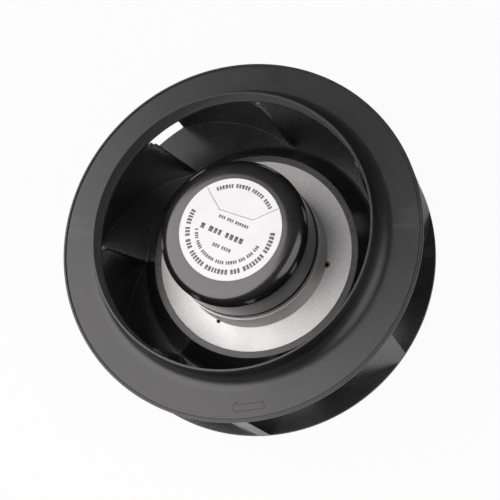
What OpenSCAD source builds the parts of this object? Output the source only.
// Plug fan: a backward-curved wheel on an external-rotor motor.
// Origin on the rotation axis, in the rear mounting face of the motor flange.
// +Z runs along the axis towards the inlet.

/* [Wheel] */
// Outer diameter of the wheel
wheel_d = 175; // [165:1:190]
// Height of the backplate's rear face above the mounting face
wheel_lift = 8.3; // [7:0.1:12]
// Thickness of the backplate
backplate_t = 2; // [1.5:0.1:3]
// Clear height of the outlet between backplate and shroud
outlet_w = 42.6; // [36:0.2:50]
// Number of blades
blade_count = 7; // [5:1:9]
// Thickness of a blade
blade_t = 1.7; // [1.2:0.1:2.5]
// Radius of a blade's arc on its hollow side
blade_arc_r = 66.5; // [62:0.5:72]
// Angle between blade and rim at the outlet
blade_exit = 18; // [15:0.5:22]
// Gap on the floor between the hub foot and the leading edge of a blade
blade_inset = 2.1; // [1:0.1:4]
// How far the leading edge leans outwards on its way up to its tip
blade_lean = 3; // [1:0.1:4]
// Height of the leading edge's tip below the middle of the shroud's bend
blade_tip_drop = 5.6; // [3:0.1:7]
// Width of the slanted corner between the tip and the shroud
blade_corner = 1.2; // [0.6:0.1:2]
// Turn of the first blade's trailing edge about the axis
blade_phase = 25.7; // [0:0.1:51]

/* [Shroud] */
// Wall of the shroud
shroud_t = 1.7; // [1.4:0.1:2.5]
// Clear diameter of the inlet collar
inlet_d = 130.6; // [126:0.2:134]
// Height of the collar's lip above the rim
inlet_h = 14.4; // [11:0.1:18]
// Radius of the bend between annulus and collar
bell_r = 7; // [5:0.1:9]
// Width of the low ledge at the rim
rim_ledge = 1.3; // [0.8:0.1:2.5]
// Height of the step down to the ledge
rim_step = 0.1; // [0.1:0.1:0.4]
// How far the annulus rolls down before the step
rim_drop = 0.6; // [0.3:0.1:0.8]
// Width over which the annulus rolls down
rim_roll = 1.6; // [1:0.1:3]
// How far the collar's inner wall flares towards its lip
lip_flare = 0.6; // [0:0.1:0.8]

/* [Hub] */
// Width of the hub ring's flat top round the steel plate
hub_ring_w = 3.3; // [2.5:0.1:6]
// Run of the hub cone from the ring's edge out to its foot
cone_run = 8.05; // [6:0.05:12]
// Height of the hub ring above the backplate's rear face
hub_h = 14.2; // [11:0.1:17]
// Wall of the hub cone
hub_wall = 2.4; // [1.8:0.1:3]
// Radius of the fillet between hub cone and backplate
hub_fillet = 3; // [1:0.5:5]
// Number of stiffening ribs behind the hub cone
rib_count = 14; // [7:1:21]
// Thickness of a stiffening rib
rib_t = 1.4; // [1:0.1:2]
// Visible diameter of the steel plate
plate_d = 97.3; // [95:0.1:99]
// Thickness of the steel plate
plate_t = 1.1; // [0.8:0.1:1.5]
// Depth of the plate's edge inside the moulding
plate_grip = 1.6; // [1:0.1:1.6]
// Ledge of plastic under the plate's edge
plate_ledge = 2; // [1.5:0.1:3]
// Plastic over the plate's edge
plate_cover = 0.7; // [0.5:0.1:1.2]
// Rise of the plate from its edge to its collar
plate_dish = 1.7; // [0.8:0.1:2.5]
// Width of the plate's flat margin inside the hub ring
plate_margin = 2.6; // [1.5:0.1:4]
// Height of the drawn collar above the plate
collar_h = 13.6; // [10:0.1:18]
// Wall of the collar at its top, where the drawing thinned it
collar_edge = 0.4; // [0.3:0.1:0.8]
// Diameter of the two small holes at the collar's foot
foot_hole_d = 2; // [1.5:0.1:3]
// How far the two small holes cut into the collar's foot
foot_hole_bite = 0.6; // [0.2:0.1:0.7]
// Places of the two small holes about the axis
foot_hole_turns = [199.8, 305.8];

/* [Rotor] */
// Outer diameter of the flux ring inside the collar
yoke_d = 71.8; // [70:0.1:76]
// Part of the flux ring that shows above the collar
yoke_show = 3.65; // [2:0.05:6]
// Flux ring below the steel plate
yoke_tail = 2; // [1:0.1:3]
// Open seam between flux ring and can
seam_gap = 0.45; // [0.3:0.05:0.8]
// Difference in radius between flux ring and can
can_step = 0.45; // [0.3:0.05:0.8]
// Height of the can from the seam to its flat top
can_h = 24.4; // [22:0.1:32]
// Wall of the can
can_t = 1.4; // [1:0.1:2]
// Radius of the can's rounded shoulder
can_fillet = 6.7; // [5:0.1:9]
// Wall of the flux ring inside the can
yoke_wall = 2; // [1.5:0.1:3]
// Height of the flux ring inside the can
yoke_spigot = 12; // [10:0.5:14]
// Thickness of the magnets
magnet_t = 3.4; // [2.5:0.1:4]
// Height of the magnets
magnet_h = 26; // [22:0.5:28]
// Arc that each magnet covers
magnet_arc = 80; // [70:1:86]
// Number of magnets
magnet_count = 4; // [4:2:8]
// Diameter of the label
label_d = 49.3; // [40:0.1:54]
// Thickness of the label
label_t = 0.2; // [0.1:0.05:0.4]

/* [Shaft and bearings] */
// Diameter of the shaft
shaft_d = 6; // [5:0.5:7]
// Outer diameter of a bearing
bearing_d = 19; // [18:0.5:20]
// Width of a bearing
bearing_w = 6; // [5:0.5:7]
// Diameter of a bearing ball
ball_d = 3.2; // [2.8:0.1:3.6]
// Balls in a bearing
ball_count = 7; // [6:1:8]
// Share of the gap between the races that the cage fills
cage_share = 0.6; // [0.4:0.05:0.7]
// Room between cage and bearing face
cage_room = 0.5; // [0.3:0.1:0.8]
// Running clearance between ball and race
race_clear = 0.05; // [0.03:0.01:0.1]
// Height of the lower bearing above the mounting face
bearing_low_z = 7; // [6:0.5:9]
// Height of the wave spring
spring_h = 1.2; // [0.9:0.1:1.6]
// Thickness of the wave spring's band
spring_t = 0.4; // [0.3:0.05:0.5]
// Room on both sides of the wave spring's band
spring_room = 0.2; // [0.1:0.05:0.4]
// Number of waves in the spring
spring_waves = 3; // [2:1:4]
// Length of the bush between can and upper bearing
bush_h = 11.2; // [9:0.1:13]
// Diameter of the bush
bush_d = 18; // [14:0.5:20]
// Wall of the bush's spigot in the can
bush_spigot = 2; // [1.5:0.1:3]
// Height of the bush's nose on the upper bearing
nose_h = 2.5; // [2:0.1:4]
// Thickness of the retaining ring
clip_t = 1; // [0.8:0.1:1.2]
// Depth of the retaining ring's groove
clip_groove = 0.6; // [0.4:0.1:0.9]
// Opening of the retaining ring
clip_gap = 2; // [1:0.1:3]
// Shaft end below the retaining ring
shaft_tail = 2.2; // [1.5:0.1:3]

/* [Stator] */
// Air gap between magnets and teeth
air_gap = 0.6; // [0.5:0.05:1]
// Height of the lamination stack
core_h = 22; // [18:0.5:24]
// Number of teeth
tooth_count = 6; // [3:3:6]
// Width of a tooth's neck
tooth_w = 6; // [5:0.1:7]
// Depth of a tooth's head
tooth_head = 3; // [2:0.1:4]
// Opening between two tooth heads
slot_gap = 3; // [2:0.1:5]
// Wall of the core's back ring
core_ring = 5; // [4:0.1:6]
// Thickness of the plastic end plates
insulator_t = 1; // [0.8:0.1:1.5]
// Build-up of the coil around a tooth
coil_t = 4; // [3:0.1:4.4]
// Step of an end plate back from the core's outline
insulator_trim = 0.3; // [0.2:0.05:0.5]
// Wall of an end plate's coil guards
guard_t = 1; // [0.8:0.1:1.5]
// Room between tooth and coil for the slot liner
liner = 0.4; // [0.3:0.05:0.6]

/* [Flange] */
// Diameter of the flange
flange_d = 82; // [78:0.5:84]
// Thickness of the flange's floor
flange_t = 3; // [2.5:0.1:4]
// Wall of the electronics pot
pot_wall = 2; // [1.5:0.1:3]
// Running gap between pot and rotor
run_gap = 1.5; // [1:0.1:2]
// Outer diameter of the bearing tube
tube_d = 22; // [21.5:0.1:24]
// Step on the tube that carries the core
tube_step = 1.5; // [1:0.1:2]
// Shoulder in the tube that holds the bearings
tube_shoulder = 1.6; // [1:0.1:2]
// Pitch circle of the mounting holes
bolt_pcd = 52; // [48:0.5:56]
// Number of mounting holes
bolt_count = 4; // [3:1:6]
// Wall diameter of the mounting holes
bolt_hole_d = 3.3; // [2.5:0.1:4.2]
// Depth of the mounting holes
bolt_depth = 8; // [6:0.5:8]
// Plastic or metal around a mounting hole
boss_wall = 2.4; // [2:0.1:3]
// Metal between a mounting hole's end and its boss
boss_cap = 1; // [0.8:0.1:2]
// Rounding of the flange's rear edge
flange_edge = 1.5; // [0.5:0.1:2]
// Height of the board above the pot's floor
board_lift = 6.5; // [6.5:0.1:8]
// Thickness of the circuit board
board_t = 1.6; // [1:0.1:2]
// Clearance of board and parts from walls
fit_gap = 0.5; // [0.3:0.1:1]
// Diameter of a board screw
screw_d = 2.5; // [2:0.1:3]
// Height of a board screw's head
head_h = 1.4; // [1:0.1:2]
// Metal around a board screw's thread
post_wall = 1.4; // [1:0.1:2]
// Length of a board screw in its post
thread_len = 5; // [4:0.5:5.5]
// Distance of the board screws from the board's edge
screw_inset = 4; // [3:0.1:5]
// Places of the board screws about the axis
screw_turns = [30, 150, 270];
// Thickness of the plug in the bearing bore
plug_t = 2.5; // [2:0.1:3]
// Bore of the cable grommet
lead_d = 5; // [4:0.1:6]
// Rubber around the lead
grommet_wall = 1.2; // [1:0.1:1.6]
// Width of the grommet's bead
bead_w = 0.8; // [0.6:0.1:1]
// Width of the grommet's outer collar
grommet_collar = 2.5; // [2:0.1:3.5]

/* [Electronics] */
// Diameter of a capacitor
capacitor_d = 8; // [6:0.5:8]
// Height of a capacitor
capacitor_h = 9.5; // [8:0.5:11]
// Places of the capacitors about the axis
capacitor_turns = [195, 218, 241];
// Number of power transistors
transistor_count = 6; // [3:1:6]
// Length, width and height of a power transistor
transistor_size = [6.5, 6, 2.3];
// Depth, width and height of a sensor
sensor_size = [1.6, 4, 3.2];
// Depth and width of a sensor's legs
sensor_leg = [0.5, 3];
// Places of the sensors about the axis
sensor_turns = [-20, 0, 20];
// Width, depth and height of the lead terminal
terminal_size = [10, 5, 6];
// Distance of the lead terminal from the board's edge
terminal_inset = 2; // [1:0.1:3]

/* [Hidden] */
$fn = 96;
eps = 0.01;
far = 400;

// Wheel and shroud levels
wheel_r = wheel_d / 2;
floor_z = wheel_lift + backplate_t;
rim_under = floor_z + outlet_w;
rim_top = rim_under + shroud_t;
lip_top = rim_top + inlet_h;
inlet_r = inlet_d / 2;
bend_r = inlet_r + shroud_t + bell_r;
bend_z = rim_top + bell_r;
ledge_r = wheel_r - rim_ledge;
roll_from_r = ledge_r - rim_roll;
roll_r = (rim_roll ^ 2 + rim_drop ^ 2) / (2 * rim_drop);

// Hub and plate levels
plate_r = plate_d / 2;
ring_r = plate_r + hub_ring_w;
cone_r = ring_r + cone_run;
blade_foot_r = cone_r + blade_inset;
grip_r = plate_r + plate_grip;
margin_r = plate_r - plate_margin;
hub_top = wheel_lift + hub_h;
plate_z = hub_top - plate_cover;
ledge_z = plate_z - plate_t - plate_ledge;
cone_in_r = ring_r - hub_wall;
cone_foot_r = cone_r - hub_wall;
foot_z = plate_z + plate_dish;
collar_top = foot_z + collar_h;
yoke_r = yoke_d / 2;
collar_r = yoke_r + plate_t;
foot_hole_r = collar_r + foot_hole_d / 2 - foot_hole_bite;

// Rotor levels
seam_z = collar_top + yoke_show;
can_rim = seam_z + seam_gap;
can_top = can_rim + can_h;
can_r = yoke_r - can_step;
can_in_r = can_r - can_t;
can_ceiling = can_top - can_t;
yoke_low = foot_z - plate_t - yoke_tail;
yoke_top = seam_z + yoke_spigot;
yoke_in_r = can_in_r - yoke_wall;
magnet_in_r = yoke_in_r - magnet_t;
magnet_z = yoke_top - magnet_h;
spigot_r = shaft_d / 2 + bush_spigot;

// Shaft and bearing levels
shaft_r = shaft_d / 2;
bearing_r = bearing_d / 2;
ball_r = ball_d / 2;
ball_ring_r = (shaft_r + bearing_r) / 2;
race_step = ball_r * 0.75;
inner_race_r = ball_ring_r - race_step;
outer_race_r = ball_ring_r + race_step;
bearing_high_z = can_ceiling - bush_h - bearing_w;
clip_r = inner_race_r - 2 * race_clear;
spring_z = bearing_low_z + bearing_w;
shoulder_low = spring_z + spring_h;
shoulder_r = bearing_r - tube_shoulder;

// Stator levels
tube_r = tube_d / 2;
core_r = magnet_in_r - air_gap;
core_z = magnet_z + (magnet_h - core_h) / 2;
core_top = core_z + core_h;
back_r = tube_r + core_ring;
head_r = core_r - tooth_head;
coil_in_w = tooth_w + 2 * liner;
coil_in_h = core_h + 2 * (insulator_t + eps);
coil_half_w = coil_in_w / 2 + coil_t;
coil_from = back_r + 2 * liner;
coil_to = sqrt((head_r - liner) ^ 2 - coil_half_w ^ 2);
tube_top = bearing_high_z + bearing_w + nose_h - run_gap;

// Flange levels
flange_r = flange_d / 2;
pot_top = yoke_low - run_gap;
pot_in_r = flange_r - pot_wall;
board_z = flange_t + board_lift;
board_top = board_z + board_t;
board_r = pot_in_r - 5 * fit_gap;
board_in_r = tube_r + tube_step + fit_gap;
bolt_r = bolt_pcd / 2;
boss_r = bolt_hole_d / 2 + boss_wall;
screw_r = board_r - screw_inset;
post_r = screw_d / 2 + post_wall;
lead_r = lead_d / 2;
neck_r = lead_r + grommet_wall;
bead_r = neck_r + bead_w;
grommet_z = flange_t + bead_r + fit_gap / 2;

black = [0.05, 0.05, 0.055];
zinc = [0.72, 0.73, 0.74];
steel = [0.6, 0.61, 0.63];
alloy = [0.66, 0.67, 0.69];

// A revolved section at a chosen fineness
module turned(fine = 180) {
    rotate_extrude($fn = fine) children();
}

// A rectangle between two corners of a section
module band(r0, z0, r1, z1) {
    translate([r0, z0]) square([r1 - r0, z1 - z0]);
}

// A ring of rectangular section
module ring(r0, r1, z0, z1) {
    turned() band(r0, z0, r1, z1);
}

// A rectangle with round corners, centred
module soft_rect(w, h, r) {
    square([w - 2 * r, h], center = true);
    square([w, h - 2 * r], center = true);
    for (x = [-1, 1], y = [-1, 1])
        translate([x * (w / 2 - r), y * (h / 2 - r)]) circle(r, $fn = 24);
}

// Blade arc: its centre lies off the axis so that the arc meets the rim at the exit angle
arc_centre_r = sqrt(wheel_r ^ 2 + blade_arc_r ^ 2 - 2 * wheel_r * blade_arc_r * cos(blade_exit));
arc_lead = acos((wheel_r ^ 2 + arc_centre_r ^ 2 - blade_arc_r ^ 2) / (2 * wheel_r * arc_centre_r));

// The half ring of one blade, seen along the axis
module blade_outline() {
    rotate(blade_phase + arc_lead) difference() {
        translate([arc_centre_r, 0]) circle(blade_arc_r + blade_t, $fn = 180);
        translate([arc_centre_r, 0]) circle(blade_arc_r, $fn = 180);
        translate([-far, 0]) square([2 * far, far]);
    }
}

// Room for the blades: from the leaning leading edge to the rim, up to the shroud's underside
module blade_room() {
    root_z = floor_z - backplate_t / 2;
    tip_r = blade_foot_r + blade_lean;
    tip_z = bend_z - blade_tip_drop;
    difference() {
        polygon([[blade_foot_r, root_z], [wheel_r, root_z], [wheel_r, rim_under], [bend_r, rim_under],
            [bend_r, bend_z], [tip_r + blade_corner, bend_z - blade_tip_drop / 3], [tip_r, tip_z]]);
        translate([bend_r, bend_z]) circle(bell_r + shroud_t, $fn = 180);
    }
}

// Backplate, hub cone and the ring that grips the steel plate
module wheel_section() {
    polygon([[wheel_r, wheel_lift], [wheel_r, floor_z], [cone_r, floor_z],
        [ring_r, hub_top], [plate_r, hub_top], [plate_r, plate_z], [grip_r, plate_z],
        [grip_r, plate_z - plate_t], [margin_r, plate_z - plate_t], [margin_r, ledge_z],
        [cone_in_r, ledge_z], [cone_foot_r, wheel_lift]]);
}

// Concave fillet at the foot of the hub cone, tangent to cone and backplate
module foot_fillet_section() {
    slope = atan2(hub_top - floor_z, cone_run);
    reach = hub_fillet * tan(slope / 2);
    difference() {
        polygon([[cone_r - eps, floor_z - eps], [cone_r + reach, floor_z - eps],
            [cone_r + reach, floor_z], [cone_r - reach * cos(slope), floor_z + reach * sin(slope)]]);
        translate([cone_r + reach, floor_z + hub_fillet]) circle(hub_fillet, $fn = 96);
    }
}

// Gusset ribs that stiffen the hub cone from behind
module hub_ribs() {
    for (k = [0 : rib_count - 1])
        rotate(k * 360 / rib_count) translate([0, rib_t / 2, 0]) rotate([90, 0, 0])
            linear_extrude(height = rib_t)
                polygon([[margin_r, ledge_z + eps], [cone_in_r + hub_wall / 2, ledge_z + eps],
                    [cone_foot_r + hub_wall / 2, wheel_lift], [cone_foot_r, wheel_lift]]);
}

module impeller_wheel() {
    color(black) {
        turned() wheel_section();
        turned() foot_fillet_section();
        hub_ribs();
        intersection() {
            for (k = [0 : blade_count - 1])
                rotate(k * 360 / blade_count)
                    linear_extrude(height = lip_top) blade_outline();
            turned() blade_room();
        }
    }
}

// Flat annulus with a rolled edge and a low ledge at the rim, bend, and collar with a flat lip
module shroud_section() {
    collar_out_r = inlet_r + shroud_t;
    band(bend_r, rim_under, roll_from_r, rim_top);
    intersection() {
        translate([roll_from_r, rim_top - roll_r]) circle(roll_r, $fn = 180);
        band(roll_from_r - eps, rim_under, ledge_r, rim_top);
    }
    band(ledge_r - eps, rim_under, wheel_r, rim_top - rim_drop - rim_step);
    polygon([[inlet_r, bend_z], [collar_out_r, bend_z], [collar_out_r, lip_top],
        [inlet_r + lip_flare, lip_top]]);
    intersection() {
        difference() {
            translate([bend_r, bend_z]) circle(bell_r + shroud_t, $fn = 180);
            translate([bend_r, bend_z]) circle(bell_r, $fn = 180);
        }
        band(inlet_r - 1, rim_under - 1, bend_r, bend_z);
    }
}

module inlet_shroud() {
    color(black) turned() shroud_section();
}

// Dished plate with a drawn collar, thinner towards its top, that grips the flux ring
module hub_plate() {
    color(zinc) difference() {
        turned() polygon([[yoke_r, foot_z - plate_t], [yoke_r, collar_top],
            [yoke_r + collar_edge, collar_top], [collar_r, foot_z], [plate_r, plate_z], [grip_r, plate_z],
            [grip_r, plate_z - plate_t], [plate_r, plate_z - plate_t], [collar_r, foot_z - plate_t]]);
        for (turn = foot_hole_turns)
            rotate(turn) translate([foot_hole_r, 0, ledge_z])
                cylinder(d = foot_hole_d, h = foot_z - ledge_z + plate_t, $fn = 32);
    }
}

// Drawn can: flat top, rounded shoulder, straight wall
module can_section() {
    shoulder_z = can_top - can_fillet;
    in_fillet = can_fillet - can_t;
    difference() {
        union() {
            band(0, can_rim, can_r, shoulder_z);
            band(0, can_rim, can_r - can_fillet, can_top);
            translate([can_r - can_fillet, shoulder_z]) circle(can_fillet, $fn = 96);
        }
        band(0, can_rim - 1, can_in_r, shoulder_z);
        band(0, can_rim - 1, can_in_r - in_fillet, can_ceiling);
        translate([can_in_r - in_fillet, shoulder_z]) circle(in_fillet, $fn = 96);
        band(-can_r, can_rim - 1, spigot_r, can_top + 1);
    }
}

module rotor_cap() {
    color(black) turned() can_section();
}

module rotor_yoke() {
    color(steel) turned() {
        band(yoke_in_r, yoke_low, yoke_r, seam_z);
        band(yoke_in_r, seam_z, can_in_r, yoke_top);
    }
}

module rotor_label() {
    color("white") translate([0, 0, can_top]) cylinder(d = label_d, h = label_t, $fn = 180);
}

module magnet_segments() {
    color([0.2, 0.2, 0.21])
        for (k = [0 : magnet_count - 1])
            rotate(k * 360 / magnet_count)
                rotate_extrude(angle = magnet_arc, $fn = 120)
                    band(magnet_in_r, magnet_z, yoke_in_r, yoke_top);
}

// Bush: nose on the upper bearing, body under the can, spigot through the can's centre
module rotor_bush() {
    bearing_top = bearing_high_z + bearing_w;
    color(steel) turned() {
        band(shaft_r, bearing_top, inner_race_r, bearing_top + nose_h);
        band(shaft_r, bearing_top + nose_h, bush_d / 2, can_ceiling);
        band(shaft_r, can_ceiling, spigot_r, can_top);
    }
}

module motor_shaft() {
    color(steel) difference() {
        translate([0, 0, bearing_low_z - clip_t - shaft_tail])
            cylinder(r = shaft_r, h = can_top - bearing_low_z + clip_t + shaft_tail);
        ring(shaft_r - clip_groove, shaft_r + 1, bearing_low_z - clip_t, bearing_low_z);
    }
}

// Open retaining ring in the shaft's groove
module shaft_clip() {
    color(steel) difference() {
        ring(shaft_r - clip_groove, clip_r, bearing_low_z - clip_t, bearing_low_z);
        translate([0, -clip_gap / 2, 0]) cube([clip_r + 1, clip_gap, bearing_low_z + 1]);
    }
}

// Race sections share one groove circle, larger than the ball by the running clearance
module race(r0, r1, z0) {
    color(steel) turned() difference() {
        band(r0, z0, r1, z0 + bearing_w);
        translate([ball_ring_r, z0 + bearing_w / 2]) circle(ball_r + race_clear, $fn = 64);
    }
}

module inner_race_upper() { race(shaft_r, inner_race_r, bearing_high_z); }
module inner_race_lower() { race(shaft_r, inner_race_r, bearing_low_z); }
module outer_race_upper() { race(outer_race_r, bearing_r, bearing_high_z); }
module outer_race_lower() { race(outer_race_r, bearing_r, bearing_low_z); }

// Places of the balls in a bearing that starts at z0
module each_ball(z0) {
    for (k = [0 : ball_count - 1])
        rotate(k * 360 / ball_count) translate([ball_ring_r, 0, z0 + bearing_w / 2]) children();
}

module balls(z0) {
    color(steel) each_ball(z0) sphere(r = ball_r, $fn = 48);
}

module bearing_balls_upper() { balls(bearing_high_z); }
module bearing_balls_lower() { balls(bearing_low_z); }

// Cage ring with a pocket round each ball
module cage(z0) {
    half_w = bearing_w / 2 - cage_room;
    half_t = race_step * cage_share;
    mid_z = z0 + bearing_w / 2;
    color("goldenrod") difference() {
        ring(ball_ring_r - half_t, ball_ring_r + half_t, mid_z - half_w, mid_z + half_w);
        each_ball(z0) sphere(r = ball_r + 2 * race_clear, $fn = 48);
    }
}

module ball_cage_upper() { cage(bearing_high_z); }
module ball_cage_lower() { cage(bearing_low_z); }

// Wavy washer between the lower bearing and the tube's shoulder
module wave_spring() {
    steps = 72;
    rise = (spring_h - spring_t) / 2;
    r_in = outer_race_r + spring_room;
    r_out = bearing_r - spring_room;
    mid_z = spring_z + spring_h / 2;
    corners = [[r_in, -1], [r_out, -1], [r_out, 1], [r_in, 1]];
    points = [for (k = [0 : steps - 1], c = corners)
        let (turn = k * 360 / steps)
        [c[0] * cos(turn), c[0] * sin(turn), mid_z + rise * cos(spring_waves * turn) + c[1] * spring_t / 2]];
    faces = [for (k = [0 : steps - 1], j = [0 : 3])
        let (n = (k + 1) % steps, m = (j + 1) % 4)
        [4 * k + j, 4 * n + j, 4 * n + m, 4 * k + m]];
    color(steel) polyhedron(points, faces);
}

// Casting: floor, pot wall, bearing tube and bosses in one piece
module flange_section() {
    difference() {
        union() {
            band(0, 0, flange_r - flange_edge, flange_edge);
            translate([flange_r - flange_edge, flange_edge]) circle(flange_edge, $fn = 48);
            band(0, flange_edge, flange_r, pot_top);
        }
        band(tube_r, flange_t, pot_in_r, pot_top + 1);
        band(-flange_r, -1, tube_r, pot_top + 1);
    }
}

module tube_section() {
    difference() {
        union() {
            band(shoulder_r, 0, tube_r + tube_step, core_z);
            band(shoulder_r, 0, tube_r, tube_top);
        }
        band(0, -1, bearing_r, shoulder_low);
        band(0, bearing_high_z, bearing_r, tube_top + 1);
    }
}

module each_bolt() {
    for (k = [0 : bolt_count - 1])
        rotate((k + 0.5) * 360 / bolt_count) translate([bolt_r, 0, 0]) children();
}

module each_board_screw() {
    for (turn = screw_turns)
        rotate(turn) translate([screw_r, 0, 0]) children();
}

module motor_flange() {
    color(alloy) difference() {
        union() {
            turned() flange_section();
            turned() tube_section();
            each_bolt() cylinder(r = boss_r, h = bolt_depth + boss_cap);
            each_board_screw() cylinder(r = post_r, h = board_z);
        }
        each_bolt() translate([0, 0, -1]) cylinder(d = bolt_hole_d, h = bolt_depth + 1);
        each_board_screw() translate([0, 0, board_z - thread_len])
            cylinder(d = screw_d, h = thread_len + 1);
        translate([0, pot_in_r - pot_wall, grommet_z]) rotate([-90, 0, 0])
            cylinder(r = neck_r, h = 3 * pot_wall);
    }
}

// One lamination: back ring, necks and heads
module lamination(bore_r, trim = 0) {
    difference() {
        union() {
            circle(back_r - trim, $fn = 120);
            for (k = [0 : tooth_count - 1])
                rotate(k * 360 / tooth_count)
                    translate([0, -tooth_w / 2 + trim]) square([head_r + tooth_head / 2, tooth_w - 2 * trim]);
            difference() {
                circle(core_r - trim, $fn = 120);
                circle(head_r + trim, $fn = 120);
                for (k = [0 : tooth_count - 1])
                    rotate((k + 0.5) * 360 / tooth_count)
                        translate([0, -slot_gap / 2 - trim]) square([core_r + 1, slot_gap + 2 * trim]);
            }
        }
        circle(bore_r, $fn = 120);
    }
}

module stator_core() {
    color(steel) translate([0, 0, core_z]) linear_extrude(height = core_h) lamination(tube_r);
}

// End plate with an inner wall and a flange behind each tooth head, to hold the coils
module insulator(z_core, side) {
    wall_h = coil_t + guard_t;
    color("ivory") translate([0, 0, z_core]) mirror([0, 0, side > 0 ? 0 : 1]) {
        linear_extrude(height = insulator_t) lamination(tube_r + tube_step, insulator_trim);
        ring(back_r - insulator_trim - guard_t, back_r - insulator_trim, 0, insulator_t + wall_h);
        linear_extrude(height = insulator_t + wall_h) intersection() {
            difference() {
                circle(head_r + insulator_trim + guard_t, $fn = 120);
                circle(head_r + insulator_trim, $fn = 120);
            }
            for (k = [0 : tooth_count - 1])
                rotate(k * 360 / tooth_count)
                    translate([0, -tooth_w]) square([core_r, 2 * tooth_w]);
        }
    }
}

module insulator_upper() { insulator(core_top, 1); }
module insulator_lower() { insulator(core_z, -1); }

module stator_windings() {
    color([0.72, 0.36, 0.16])
        for (k = [0 : tooth_count - 1])
            rotate(k * 360 / tooth_count)
                translate([coil_from, 0, core_z + core_h / 2])
                    rotate([90, 0, 90]) linear_extrude(height = coil_to - coil_from) difference() {
                        soft_rect(2 * coil_half_w, coil_in_h + 2 * coil_t, coil_t);
                        square([coil_in_w, coil_in_h], center = true);
                    }
}

module circuit_board() {
    color([0.05, 0.3, 0.14]) difference() {
        ring(board_in_r, board_r, board_z, board_top);
        each_board_screw() translate([0, 0, board_z - 1]) cylinder(d = screw_d + fit_gap, h = board_t + 2);
    }
}

// Electrolytic cans standing on the board
module capacitors() {
    place_r = yoke_in_r - run_gap - capacitor_d / 2;
    color([0.15, 0.15, 0.2])
        for (turn = capacitor_turns)
            rotate(turn) translate([place_r, 0, board_top]) cylinder(d = capacitor_d, h = capacitor_h);
}

module power_transistors() {
    place_r = board_in_r + 2 * fit_gap;
    color([0.12, 0.12, 0.12])
        for (k = [0 : transistor_count - 1])
            rotate(k * 360 / transistor_count)
                translate([place_r, -transistor_size[1] / 2, board_top]) cube(transistor_size);
}

// Sensors on legs, held just under the magnets
module hall_sensors() {
    leg_h = magnet_z - board_top - sensor_size[2] - run_gap;
    color([0.12, 0.12, 0.12])
        for (turn = sensor_turns)
            rotate(turn) translate([magnet_in_r + magnet_t / 2, 0, board_top]) {
                translate([-sensor_leg[0] / 2, -sensor_leg[1] / 2, 0])
                    cube([sensor_leg[0], sensor_leg[1], leg_h]);
                translate([-sensor_size[0] / 2, -sensor_size[1] / 2, leg_h]) cube(sensor_size);
            }
}

module lead_terminal() {
    color("ivory")
        translate([-terminal_size[0] / 2, board_r - terminal_size[1] - terminal_inset, board_top])
            cube(terminal_size);
}

module board_screws() {
    color(steel) each_board_screw() {
        translate([0, 0, board_z - thread_len]) cylinder(d = screw_d, h = thread_len + board_t);
        translate([0, 0, board_top]) cylinder(d = 2 * screw_d, h = head_h);
    }
}

// Rubber bush in the pot's side wall: neck in the hole, a bead inside and a collar outside
module cable_grommet() {
    bead_end = sqrt(pot_in_r ^ 2 - bead_r ^ 2) - pot_in_r;
    color(black) translate([0, pot_in_r, grommet_z]) rotate([-90, 0, 0]) turned()
        polygon([[lead_r, bead_end - bead_w], [bead_r, bead_end - bead_w], [bead_r, bead_end],
            [neck_r, bead_end], [neck_r, pot_wall], [bead_r, pot_wall], [bead_r, pot_wall + grommet_collar],
            [neck_r, pot_wall + grommet_collar], [neck_r - grommet_wall / 3, pot_wall + 3 * grommet_collar],
            [lead_r, pot_wall + 3 * grommet_collar]]);
}

module bore_plug() {
    color(black) cylinder(r = bearing_r, h = plug_t);
}

impeller_wheel();
inlet_shroud();
hub_plate();
rotor_cap();
rotor_yoke();
rotor_label();
magnet_segments();
rotor_bush();
motor_shaft();
shaft_clip();
inner_race_upper();
inner_race_lower();
bearing_balls_upper();
bearing_balls_lower();
ball_cage_upper();
ball_cage_lower();
outer_race_upper();
outer_race_lower();
wave_spring();
motor_flange();
stator_core();
insulator_upper();
insulator_lower();
stator_windings();
circuit_board();
capacitors();
power_transistors();
hall_sensors();
lead_terminal();
board_screws();
cable_grommet();
bore_plug();
